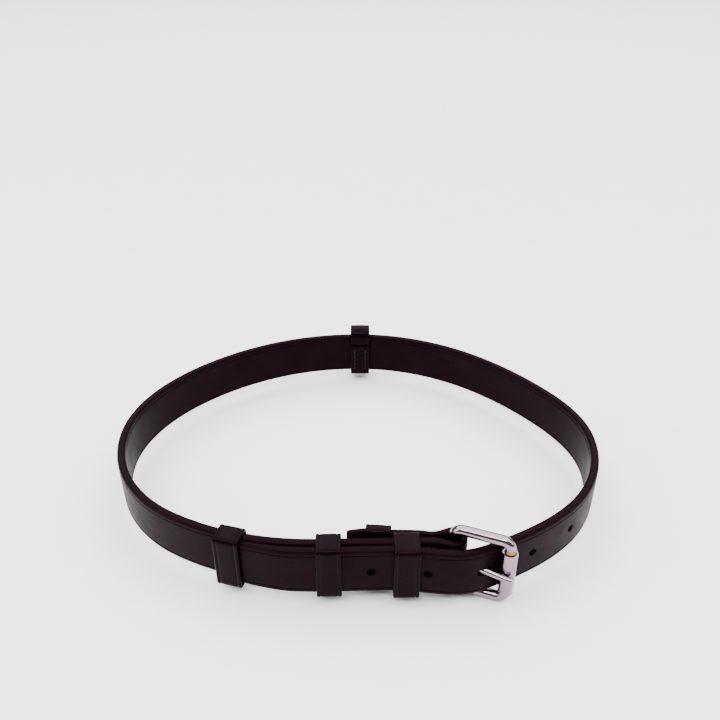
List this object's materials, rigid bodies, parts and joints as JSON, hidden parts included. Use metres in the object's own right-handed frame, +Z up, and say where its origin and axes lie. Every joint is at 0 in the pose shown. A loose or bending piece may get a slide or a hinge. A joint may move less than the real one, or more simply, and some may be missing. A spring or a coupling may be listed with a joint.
{
  "type": "buckled leather martingale strap",
  "caption": "Leather strap buckled into a ring, with a roller buckle, sliding keepers on the billet and a sewn loop at the back for another strap.",
  "frame": {"origin": "middle of the object's footprint, on the surface that it stands on", "axes": "+X along the front run towards the buckle, +Y from the front run to the ring's back, +Z up, across the strap's width"},
  "size_m": [0.2486, 0.202, 0.0389],
  "materials": {
    "strap_leather": "dark brown bridle leather, waxed, with burnished edges",
    "keeper_leather": "thin dark leather, creased along both edges, glossy",
    "buckle_chrome": "polished plated rod",
    "roller_chrome": "polished plated tube, brass-coloured inside",
    "thread": "waxed dark thread"
  },
  "bodies": {
    "strap": {"main_strap": "strap_leather", "buckle_keeper": "keeper_leather", "rear_loop": "keeper_leather", "rear_loop_stitching_1": "thread", "rear_loop_stitching_2": "thread", "fold_seam_rear_1": "thread", "fold_seam_rear_2": "thread", "fold_seam_front_1": "thread", "fold_seam_front_2": "thread"},
    "buckle": {"buckle_frame": "buckle_chrome"},
    "roller": {"buckle_roller": "roller_chrome"},
    "tongue": {"buckle_tongue": "buckle_chrome"},
    "keeper_at_tip": {"tip_keeper": "keeper_leather", "tip_keeper_stitching_1": "thread", "tip_keeper_stitching_2": "thread"},
    "keeper_at_middle": {"middle_keeper": "keeper_leather", "middle_keeper_stitching_1": "thread", "middle_keeper_stitching_2": "thread"},
    "keeper_at_tail": {"tail_keeper": "keeper_leather", "tail_keeper_stitching_1": "thread", "tail_keeper_stitching_2": "thread"}
  },
  "joints": [
    {"name": "buckle_swing", "type": "hinge", "parent": "strap", "child": "buckle", "pos_m": [0.0432, -0.08561, 0.01945], "axis": [0, 0, -1], "range_deg": [0, 3]},
    {"name": "roller_spin", "type": "hinge", "parent": "buckle", "child": "roller", "pos_m": [0.0666, -0.09421, 0.01875], "axis": [0, 0, 1], "continuous": true},
    {"name": "tongue_swing", "type": "hinge", "parent": "buckle", "child": "tongue", "pos_m": [0.0432, -0.08561, 0.01945], "axis": [0, 0, -1], "range_deg": [0, 4]},
    {"name": "tip_keeper_travel", "type": "hinge", "parent": "strap", "child": "keeper_at_tip", "pos_m": [-0.02014, 0.0412, 0.01945], "axis": [0, 0, -1], "range_deg": [-1, 9]},
    {"name": "middle_keeper_slide", "type": "slide", "parent": "strap", "child": "keeper_at_middle", "axis": [0.9997, 0.0227, 0], "range_m": [-0.006, 0.005]},
    {"name": "tail_keeper_slide", "type": "slide", "parent": "strap", "child": "keeper_at_tail", "axis": [-0.9972, 0.075, 0], "range_m": [0, 0.004]}
  ]
}
